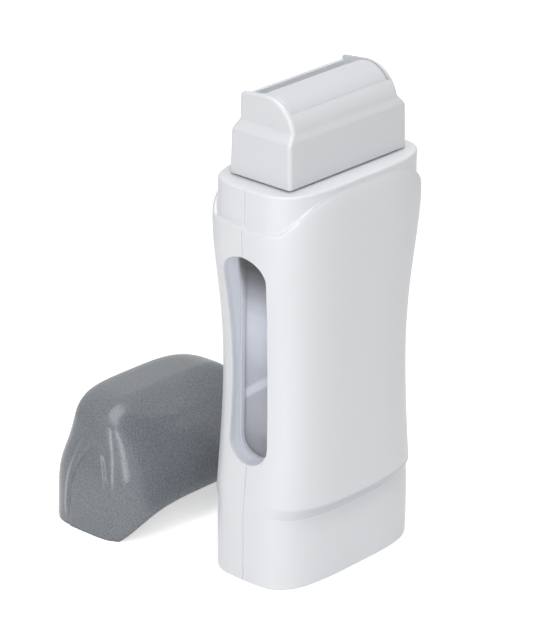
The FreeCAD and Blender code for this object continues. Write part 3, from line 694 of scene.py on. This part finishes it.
def open_round(bm, side, centres, radius, floor):
    """Opens joined round holes in one side of a shell, with a soft edge and a wall to the floor."""
    surface, out = BVHTree.FromBMesh(bm), Vector(side)
    across = [i for i in range(3) if not side[i]]

    def from_centre(co):     # the nearest centre, and the way from it
        flat = Vector([co[i] / MM for i in across])
        centre = min((Vector(c) for c in centres), key=lambda c: (flat - c).length)
        return centre, flat - centre

    def beyond(vertex):
        if vertex.co.dot(out) < HOLE_SIDE * MM:
            return math.inf
        return from_centre(vertex.co)[1].length - radius - HOLE_EDGE

    def at_distance(co, distance):      # the point, moved to a distance from its centre
        centre, way = from_centre(co)
        way = way.normalized() if way.length > 1e-6 else Vector((1, 0))
        point = co.copy()
        point[across[0]], point[across[1]] = (centre + way * distance) * MM
        return point

    def snap(vertex):
        vertex.co = at_distance(vertex.co, radius + HOLE_EDGE)
        hit = surface.ray_cast(vertex.co + out * 0.1, -out)[0]
        vertex.co = hit if hit else vertex.co

    rim = open_skin(bm, beyond, snap)
    for soft in (True, False):
        rim, made = extruded(bm, rim)
        for vertex in made:
            down = HOLE_EDGE * MM if soft else vertex.co.dot(out) - floor * MM
            vertex.co = at_distance(vertex.co, radius) - out * down


class WAX_OT_housing(bpy.types.Operator):
    """Build both shells: waisted sides, crease, arched ledge, collar, deck and openings"""
    bl_idname = "wax.housing"
    bl_label = "Shells"

    def execute(self, context):
        scene = context.scene
        s, window, tones = sizes(scene.wax_housing), sizes(scene.wax_window), scene.wax_colours
        beside = [s.seam_width * share for share in SEAM_COLUMNS]
        spread = oblong_spread(SECTION_HALF, SHELL_COLUMNS, beside)
        white = gloss_white_abs(tones.shells, tones.painted_crease_shade)
        for half, way in (("front", -1), ("rear", 1)):
            columns = [shell_column(dx, way * dy, s, seam_depth(dy, s)) for dx, dy in spread]
            bm = bmesh.new()
            painted_crease_shade = bm.verts.layers.float.new("painted_crease_shade")
            rows = [[bm.verts.new(Vector(p) * MM) for p in row] for row in zip(*columns)]
            # paints shade into the crease: a mask that is strongest on the wide faces
            for row in rows[CREASE_ROWS]:
                for vertex, (_, dy) in zip(row, spread):
                    vertex[painted_crease_shade] = abs(dy) ** 4
            grid_faces(bm, rows)
            cut_window(bm, window)
            open_round(bm, (1, 0, 0), INLET_LOBES, INLET_R, INLET_FLOOR)
            if half == "rear":
                for hole in SCREW_HOLES:
                    open_round(bm, (0, 1, 0), [hole], SCREW_R, SCREW_FLOOR)
            finished(bm, half + "_housing", "heater", white, [half + "_shell"], 50)
        return {"FINISHED"}


# ---- Window
LENS_GAP = 0.06                         # between the lens and the slot
LENS_EDGE = (0.25, -0.12)               # inset and rise of the lens's softened outer edge
LENS_INSETS, LENS_MIDDLE, LENS_POINTS = (1.2, 2.4, 3.6, 4.8, 6.0), 0.3, 72


def lens_point(s, r, turn, depth):
    """A point of the lens, on an outline of radius r: a share of the way round, and a depth."""
    straight, half = s.high - s.low - s.width, math.pi * r
    run = turn * 2 * (half + straight)
    way, run = (1, run) if run < straight + half else (-1, run - straight - half)
    angle = max(0.0, run - straight) / r
    z = min(run, straight) - straight / 2 + r * math.sin(angle)
    z = (s.low + s.high) / 2 + way * z
    y = way * r * math.cos(angle) * slot_flare(z, s)
    return Vector((skin_x(y, z) + depth, y, z)) * MM


class WAX_OT_window(bpy.types.Operator):
    """Build the clear lens: a sheet that follows the body's curve, sunk a little in the slot"""
    bl_idname = "wax.window"
    bl_label = "Window"

    def execute(self, context):
        s = sizes(context.scene.wax_window)
        radius = s.width / 2 - LENS_GAP
        bm = bmesh.new()

        def loop(inset, depth):
            return [bm.verts.new(lens_point(s, radius - inset, i / LENS_POINTS, s.recess + depth))
                    for i in range(LENS_POINTS)]

        outer, inner = [loop(0.0, 0.0), loop(*LENS_EDGE)], [loop(0.0, s.sheet)]
        for inset in (*LENS_INSETS, radius - LENS_MIDDLE):
            outer.append(loop(inset, LENS_EDGE[1]))
            inner.append(loop(inset, s.sheet))
        for face in (outer, inner):
            grid_faces(bm, face, closed=True)
            bm.faces.new(face[-1])
        grid_faces(bm, [outer[0], inner[0]], closed=True)
        finished(bm, "window_lens", "heater", clear_polycarbonate(),
                 ["side_window"], 35)
        return {"FINISHED"}


# ---- Inside, inlet and lamp
class WAX_OT_chamber(bpy.types.Operator):
    """Finish the heating chamber, its elements, controls and leads"""
    bl_idname = "wax.chamber"
    bl_label = "Heating chamber"

    def execute(self, context):
        dress(inner_plastic("glass_filled_nylon"), "chamber_frame")
        dress(brushed("rolled_aluminium"), "front_heating_plate", "rear_heating_plate")
        dress(inner_plastic("fired_ceramic"), "front_ptc_heater", "rear_ptc_heater")
        dress(inner_plastic("polyimide_film"), "front_insulator_film", "rear_insulator_film")
        dress(brushed("bright_steel_strip"), "front_plate_spring", "rear_plate_spring",
              "thermostat", "thermal_fuse")
        dress(inner_plastic("brown_pvc"), "live_lead", "thermostat_lead")
        dress(inner_plastic("blue_pvc"), "neutral_lead", "fuse_lead")
        return {"FINISHED"}


class WAX_OT_fittings(bpy.types.Operator):
    """Finish the inlet, its pins, the lamp and the screws"""
    bl_idname = "wax.fittings"
    bl_label = "Inlet, lamp and screws"

    def execute(self, context):
        dress(inner_plastic("black_nylon"), "inlet_socket")
        dress(brushed("nickel_plated_brass"), "inlet_pins")
        dress(tinted_polycarbonate(), "indicator_lens")
        dress(clear_polycarbonate(), "indicator_lamp")
        dress(brushed("zinc_plated_steel"), "shell_screws")
        return {"FINISHED"}


# ---- Cartridge
# Half sizes, radii and heights of the head, as in its CAD solid.
HEAD_LOW, HEAD_STEP, HEAD_WAIST = 139.4, 154.0, 157.6
HEAD_FOOT, HEAD_SHOULDER = (28.65, 13.0), (28.5, 12.6)
CHEEK_X, CHEEK_THICK, CHEEK_RADIUS, CHEEK_Y, CHEEK_Z = 25.7, 1.7, 12.5, 0.8, 154.9
BACK_Y, BACK_WALL, BACK_TOP, BACK_CORNER, BACK_ROUND = 11.4, 1.1, 165.2, 166.4, 1.4
ROLLER_R, ROLLER_Z, POCKET_GAP, POCKET_ARC = 9.8, 157.5, 0.25, (152, 355)
WAIST_ANGLE, LIP_ANGLE = 167.5, 141.4   # where the cheeks' front arc starts, and the lip
JOURNAL_R, JOURNAL_REACH, ROLLER_PLAY = 2.5, 0.9, 0.3
# Rows of the foot's edge, its side and the flare above, and steps of the edges and arcs.
FOOT_EDGE = ((0.4, 0.0), (0.1, 0.12), (0.0, 0.4))
FOOT_SHARES = (0.25, 0.5, 0.75, 0.93, 0.975)
FLARE_STEPS = ((0.04, 0.10), (0.12, 0.2), (0.35, 0.42), (0.65, 0.66), (0.88, 0.86), (0.97, 1.0))
HEAD_EDGE, HEAD_EDGE_STEPS, FRONT_STEPS, CHEEK_STEPS = 1.3, 6, 10, 59
# The front wall's lip, from its outer edge.
LIP_STEPS = ((0.0, 0.0), (0.12, 0.16), (0.32, 0.2), (0.45, 0.06))
# The roller's rounded ends, as distances in from the end and from its radius.
ROLLER_END = ((0.0, 0.8), (0.1, 0.35), (0.35, 0.1), (0.8, 0.0))
ROLLER_POINTS = 96


def arc(y, z, radius, start, end, count):
    """Points of an arc in the side view; angles are in degrees from +Y towards +Z."""
    angles = [math.radians(start + (end - start) * i / count) for i in range(count + 1)]
    return [(y + radius * math.cos(angle), z + radius * math.sin(angle)) for angle in angles]


def head_levels():
    """Half width, half depth at the front and the back, and height, from foot to waist."""
    (foot_x, foot_y), (step_x, step_y) = HEAD_FOOT, HEAD_SHOULDER
    levels = [(foot_x - pull, foot_y - pull, foot_y - pull, HEAD_LOW + up)
              for pull, up in FOOT_EDGE]
    for share in FOOT_SHARES:
        half_y = between(foot_y, step_y, share)
        levels.append((between(foot_x, step_x, share), half_y, half_y,
                       between(HEAD_LOW, HEAD_STEP, share)))
    # the flare from shoulder to waist, soft at both ends
    front = -arc(CHEEK_Y, CHEEK_Z, CHEEK_RADIUS, WAIST_ANGLE, LIP_ANGLE, 1)[0][0]
    for share, up in FLARE_STEPS:
        levels.append((between(step_x, CHEEK_X, share), between(step_y, front, share),
                       between(step_y, BACK_Y, share), between(HEAD_STEP, HEAD_WAIST, up)))
    levels.append((CHEEK_X, front + 0.01, BACK_Y, HEAD_WAIST))
    return levels


def cheek_line():
    """The cheek's side view from the front wall's lip over the top to its upright back."""
    crest = CHEEK_Z + CHEEK_RADIUS
    slope = math.atan2(crest - BACK_CORNER, BACK_Y - CHEEK_Y)
    turn_y, upright = BACK_Y - BACK_ROUND, 90 - math.degrees(slope)
    turn_z = crest - (turn_y - CHEEK_Y) * math.tan(slope) - BACK_ROUND / math.cos(slope)
    return (arc(CHEEK_Y, CHEEK_Z, CHEEK_RADIUS, LIP_ANGLE, upright, 24)
            + arc(turn_y, turn_z, BACK_ROUND, upright, 0, 8))


def channel_line():
    """The side view between the cheeks: lip, roller pocket, rear wall with a round top."""
    y, z = arc(CHEEK_Y, CHEEK_Z, CHEEK_RADIUS, LIP_ANGLE, 90, 1)[0]
    inner, half = BACK_Y - BACK_WALL, BACK_WALL / 2
    return ([(y + along, z + up) for along, up in LIP_STEPS]
            + arc(0.0, ROLLER_Z, ROLLER_R + POCKET_GAP, *POCKET_ARC, 40)
            + [(inner, ROLLER_Z + 1.5), (inner, BACK_TOP - half)]
            + arc(BACK_Y - half, BACK_TOP - half, half, 180, 0, 8))


def head_section(top, levels, x_of, pull):
    """One section of the head across X, drawn in by pull; x_of gives a half width's place."""
    points = [Vector((x_of(half_x), -front + pull, z)) * MM for half_x, front, _, z in levels]
    for i, (y, z) in enumerate(top):
        before, after = Vector(top[max(i - 1, 0)]), Vector(top[min(i + 1, len(top) - 1)])
        along = (after - before).normalized() * pull
        points.append(Vector((x_of(CHEEK_X), y + along.y, z - along.x)) * MM)
    for half_x, _, back, z in reversed(levels):
        points.append(Vector((x_of(half_x), back - pull, z)) * MM)
    return points


def head_mesh():
    """The whole housing as one skin of sections across X."""
    levels = head_levels()
    lower = arc(CHEEK_Y, CHEEK_Z, CHEEK_RADIUS, WAIST_ANGLE - 0.5, LIP_ANGLE, FRONT_STEPS)
    cheek, channel = (lower + even_points(line, CHEEK_STEPS)[1:]
                      for line in (cheek_line(), channel_line()))
    inside = CHEEK_X - CHEEK_THICK
    sections = []
    for way in (-1, 1):
        side = []
        for x, y in quarter_turn(HEAD_EDGE_STEPS):
            lean, pull = HEAD_EDGE * (1 - x), HEAD_EDGE * (1 - y)
            side.append(head_section(cheek, levels, lambda half_x: way * (half_x - lean), pull))
        for top in (cheek, channel):
            side.append(head_section(top, levels, lambda half_x: way * inside, 0.0))
        sections += side if way == -1 else side[::-1]
    bm = bmesh.new()
    rows = [[bm.verts.new(point) for point in section] for section in sections]
    grid_faces(bm, rows)
    for row in (rows[0], rows[-1]):
        for i in range(len(row) // 2 - 1):
            bm.faces.new((row[i], row[i + 1], row[-i - 2], row[-i - 1]))
    for a, b in zip(rows, rows[1:]):
        bm.faces.new((a[0], b[0], b[-1], a[-1]))
    return bm


class WAX_OT_cartridge(bpy.types.Operator):
    """Build the roller's housing and finish the wax bottle, wax and gasket"""
    bl_idname = "wax.cartridge"
    bl_label = "Cartridge"

    def execute(self, context):
        finished(head_mesh(), "roller_housing", "cartridge",
                 gloss_head_abs(context.scene.wax_colours.head),
                 ["cartridge_head"], 45)
        dress(cloudy_polypropylene_painted_shading(), "wax_bottle")
        dress(inner_plastic("rosin_wax"), "wax_fill")
        dress(inner_plastic("silicone_rubber"), "neck_seal")
        return {"FINISHED"}


class WAX_OT_roller(bpy.types.Operator):
    """Build the wax roller with rounded ends and its two journals"""
    bl_idname = "wax.roller"
    bl_label = "Roller"

    def execute(self, context):
        half = CHEEK_X - CHEEK_THICK - ROLLER_PLAY
        ends = [(half + JOURNAL_REACH, JOURNAL_R), (half, JOURNAL_R)]
        ends += [(half - inwards, ROLLER_R - short) for inwards, short in ROLLER_END]
        line = [(-x, r) for x, r in ends] + ends[::-1]
        bm = bmesh.new()
        turns = [2 * math.pi * i / ROLLER_POINTS for i in range(ROLLER_POINTS)]
        rows = [[bm.verts.new(Vector((x, r * math.cos(turn), ROLLER_Z + r * math.sin(turn))) * MM)
                 for turn in turns] for x, r in line]
        grid_faces(bm, rows, closed=True)
        bm.faces.new(rows[0][::-1])
        bm.faces.new(rows[-1])
        finished(bm, "wax_roller", "roller",
                 polished_polypropylene(context.scene.wax_colours.roller),
                 ["roller"], 40)
        return {"FINISHED"}


# ---- Cap
# Height, half width and half depth, as the cap's CAD sections have them.
CAP = ((0.0, 37.4, 21.8), (9.8, 37.4, 21.7), (19.6, 37.9, 21.6), (28.4, 34.3, 18.5),
       (36.2, 32.4, 17.2), (41.5, 30.8, 16.8), (44.6, 23.4, 15.5), (44.6, 15.3, 9.8))
# The side that faces -Y is rounder towards the crown: height and half depth.
CAP_NEAR = ((0.0, 21.8), (9.8, 21.7), (19.4, 21.6), (26.1, 18.4), (32.2, 15.0), (35.6, 12.0),
            (37.9, 10.9), (40.6, 7.5))
CAP_SIDE = sampled(CAP)
CAP_PLACE, CAP_YAW = (-6.2, 64.0, 0.0), -0.5
CAP_HALF, CAP_QUARTER, CAP_ROWS = (37.0, 21.0), 110, 90
CROWN_SHARES = (0.85, 0.7, 0.5, 0.3, 0.0)
# The thumb grip, where 1 is its arch: its face ends, and its groove starts and ends.
GRIP_FACE, GROOVE_START, GROOVE_END = (0.90, 1.0), (0.94, 1.05), (1.08, 1.30)
GRIP_FOOT = 0.35             # share of its relief at the rim
GRIP_TURN = (0.8, 0.95)      # directions over which it fades towards the wide faces
# The groove fades over these heights, and over these places along Y to a share of its depth.
GROOVE_LOW, GROOVE_SIDE, GROOVE_LEAST = (1.0, 9.0), (-9.0, 4.0), 0.35


def grip_swell(y, z, s):
    """How far the thumb grip stands out at a place on the narrow side, with its groove."""
    reach = math.hypot((y + s.grip_offset) / s.grip_half, z / s.grip_height)
    face = (1 - smooth_step(reach, *GRIP_FACE)) * min(1.0, GRIP_FOOT + z / s.grip_height)
    groove = smooth_step(reach, *GROOVE_START) * (1 - smooth_step(reach, *GROOVE_END))
    groove *= smooth_step(z, *GROOVE_LOW) * between(GROOVE_LEAST, 1.0, smooth_step(y, *GROOVE_SIDE))
    return s.grip_relief * face - s.grip_groove * groove


def cap_column(dx, dy, s, ledge):
    """One upright line of the cap, from its arched rim to the middle of the crown."""
    rim = ledge_height(dx, ledge, 0.0)
    foot = bisect.bisect_left(CAP_SIDE, (rim,)) / (len(CAP_SIDE) - 1)
    line = []
    for i in range(CAP_ROWS + 1):
        t = between(foot, 1.0, i / CAP_ROWS)
        z, half_x, half_y = steer(CAP, t)
        if dy < 0:
            near_z, half_y = steer(CAP_NEAR, t)
            z = between(z, near_z, dy * dy)
        swell = grip_swell(half_y * dy, z, s) * smooth_step(abs(dx), *GRIP_TURN)
        line.append(Vector((half_x * dx + math.copysign(swell, dx), half_y * dy, z)))
    edge, crown = line[-1], CAP[-1][0]
    for share in CROWN_SHARES:
        line.append(Vector((edge.x * share, edge.y * share, between(crown, edge.z, share ** 2))))
    return line


class WAX_OT_cap(bpy.types.Operator):
    """Build the cap: arched rim, round crown and a thumb grip on each narrow side"""
    bl_idname = "wax.cap"
    bl_label = "Cap"

    def execute(self, context):
        scene = context.scene
        s, ledge, tones = sizes(scene.wax_cap), sizes(scene.wax_housing), scene.wax_colours
        half_ring = oblong_spread(CAP_HALF, CAP_QUARTER)[:-1]
        ring = half_ring + [(-x, -y) for x, y in half_ring]
        columns = [cap_column(dx, dy, s, ledge) for dx, dy in ring]
        turn, place = Matrix.Rotation(math.radians(CAP_YAW), 3, "Z"), Vector(CAP_PLACE)
        bm = bmesh.new()
        rows = [[bm.verts.new((turn @ p + place) * MM) for p in row] for row in zip(*columns)]
        grid_faces(bm, rows, closed=True)
        grey = spark_eroded_grey(tones.cap_dark, tones.cap_light)
        cap = finished(bm, "grey_cap", "cap", grey, ["cap"], 50)
        wall = cap.modifiers.new("wall", "SOLIDIFY")
        wall.thickness = s.wall * MM
        wall.offset = -1.0
        return {"FINISHED"}


# ---- Stage
# The camera: angles in degrees, aim and distance in millimetres, and its lens.
AZIMUTH, ELEVATION, ROLL = -48.604, 22.933, 0.727
AIM, DISTANCE, LENS, SENSOR = (-8.5, 9.1, 82.7), 1236.4, 211.3, 36.0
CLIP = (0.05, 20.0)          # metres
SKY_LIGHT, FLOOR_GLOW, FLOOR_HALF = 0.10, 0.55, 4.0
# Lamps: name, azimuth and elevation, width and height in metres, watts.
LAMP_AIM, LAMP_DISTANCE = (0.0, 0.02, 0.08), 0.9
LAMPS = (("key", (-42.0, 26.0), (0.3, 0.6), 2.55), ("top", (0.0, 85.0), (0.8, 0.8), 5.8),
         ("edge", (-82.0, 16.0), (0.15, 0.7), 2.1))


def compass(azimuth, elevation):
    """The direction at two angles in degrees; azimuth 0 is -Y, 90 is +X."""
    turn, climb = math.radians(azimuth), math.radians(elevation)
    return Vector((math.sin(turn) * math.cos(climb), -math.cos(turn) * math.cos(climb),
                   math.sin(climb)))


def seen_only(tree, otherwise, seen):
    """A strength that differs where the camera, a reflection or clear plastic looks."""
    path = add(tree, "LightPath")
    mirrored = add(tree, "Math", {
        0: path.outputs["Is Camera Ray"], 1: path.outputs["Is Glossy Ray"]}, operation="MAXIMUM")
    through = add(tree, "Math", {
        0: mirrored, 1: path.outputs["Is Transmission Ray"]}, operation="MAXIMUM")
    return add(tree, "MapRange", {"Value": through, "To Min": otherwise, "To Max": seen})


def studio_paper(tone):
    """Matt paper: a faint fleck in its gloss, and a glow that only the eye sees."""
    material, tree, place = new_material("studio_paper")
    fleck = add(tree, "TexNoise", {"Vector": place["Object"], "Scale": 1 / (2 * MM)})
    matt = add(tree, "MapRange", {"Value": fleck, "To Min": 0.85, "To Max": 0.95})
    paper = add(tree, "BsdfPrincipled", {"Base Color": tone, "Roughness": matt})
    glow = add(tree, "Emission", {"Color": tone, "Strength": seen_only(tree, 0.0, FLOOR_GLOW)})
    return surfaced(material, add(tree, "AddShader", {0: paper, 1: glow}))


def lay_floor(scene):
    """A wide sheet of paper under the heater."""
    bm = bmesh.new()
    bmesh.ops.create_grid(bm, x_segments=24, y_segments=24, size=FLOOR_HALF)
    floor = linked(scene, "floor", new_mesh(bm, "floor", studio_paper(scene.wax_colours.ground)))


def light_up(scene):
    """A pale even sky, and a soft box for each lamp."""
    world = bpy.data.worlds.new("studio")
    scene.world = world
    world.use_nodes = True
    tree = world.node_tree
    tree.nodes.clear()
    sky = add(tree, "Background", {
        "Color": hex_colour("#FFFFFF"), "Strength": seen_only(tree, SKY_LIGHT, 1.0)})
    add(tree, "OutputWorld", {"Surface": sky})
    for name, direction, size, power in LAMPS:
        back = compass(*direction)
        data = bpy.data.lights.new(name, "AREA")
        data.shape, data.energy = "RECTANGLE", power
        data.size, data.size_y = size
        light = linked(scene, name, data)
        light.location = Vector(LAMP_AIM) + back * LAMP_DISTANCE
        light.rotation_mode = "QUATERNION"
        light.rotation_quaternion = (-back).to_track_quat("-Z", "Y")


def place_camera(scene):
    """A long lens that looks down at the heater's corner."""
    data = bpy.data.cameras.new("camera")
    camera = linked(scene, "camera", data)
    back = compass(AZIMUTH, ELEVATION)
    right = Matrix.Rotation(math.radians(ROLL), 3, back) @ compass(AZIMUTH + 90, 0.0)
    turned = Matrix((right, back.cross(right), back)).transposed().to_4x4()
    camera.matrix_world = Matrix.Translation((Vector(AIM) + back * DISTANCE) * MM) @ turned
    data.lens, data.sensor_width = LENS, SENSOR
    data.clip_start, data.clip_end = CLIP
    scene.camera = camera


class WAX_OT_stage(bpy.types.Operator):
    """Set up the floor, the soft light and the camera"""
    bl_idname = "wax.stage"
    bl_label = "Stage"

    def execute(self, context):
        context.scene.view_settings.view_transform = "Standard"
        lay_floor(context.scene)
        light_up(context.scene)
        place_camera(context.scene)
        return {"FINISHED"}


# ---- Add-on
class WAX_PT_panel(bpy.types.Panel):
    """Lists the heater's settings and steps in the sidebar"""
    bl_label = "Wax heater"
    bl_idname = "WAX_PT_panel"
    bl_space_type = "VIEW_3D"
    bl_region_type = "UI"
    bl_category = "Wax heater"

    def draw(self, context):
        for group_name, kind in SETTINGS.items():
            for name in kind.__annotations__:
                self.layout.prop(getattr(context.scene, group_name), name)
        for operator in OPERATORS:
            self.layout.operator(operator.bl_idname)


OPERATORS = (WAX_OT_stage, WAX_OT_housing, WAX_OT_window, WAX_OT_chamber, WAX_OT_fittings,
             WAX_OT_cartridge, WAX_OT_roller, WAX_OT_cap)
SETTINGS = {"wax_housing": WaxHousingSettings, "wax_window": WaxWindowSettings,
            "wax_cap": WaxCapSettings, "wax_colours": WaxColours}
CLASSES = (*SETTINGS.values(), *OPERATORS, WAX_PT_panel)


def register():
    for item in CLASSES:
        bpy.utils.register_class(item)
    for name, group in SETTINGS.items():
        setattr(bpy.types.Scene, name, PointerProperty(type=group))


def unregister():
    for name in SETTINGS:
        delattr(bpy.types.Scene, name)
    for item in reversed(CLASSES):
        bpy.utils.unregister_class(item)


def main():
    register()
    for operator in OPERATORS:
        step = getattr(bpy.ops.wax, operator.bl_idname.split(".")[1])
        if step() != {"FINISHED"}:
            raise RuntimeError(f"{operator.bl_label} wasn't built")


if __name__ == "__main__":
    main()
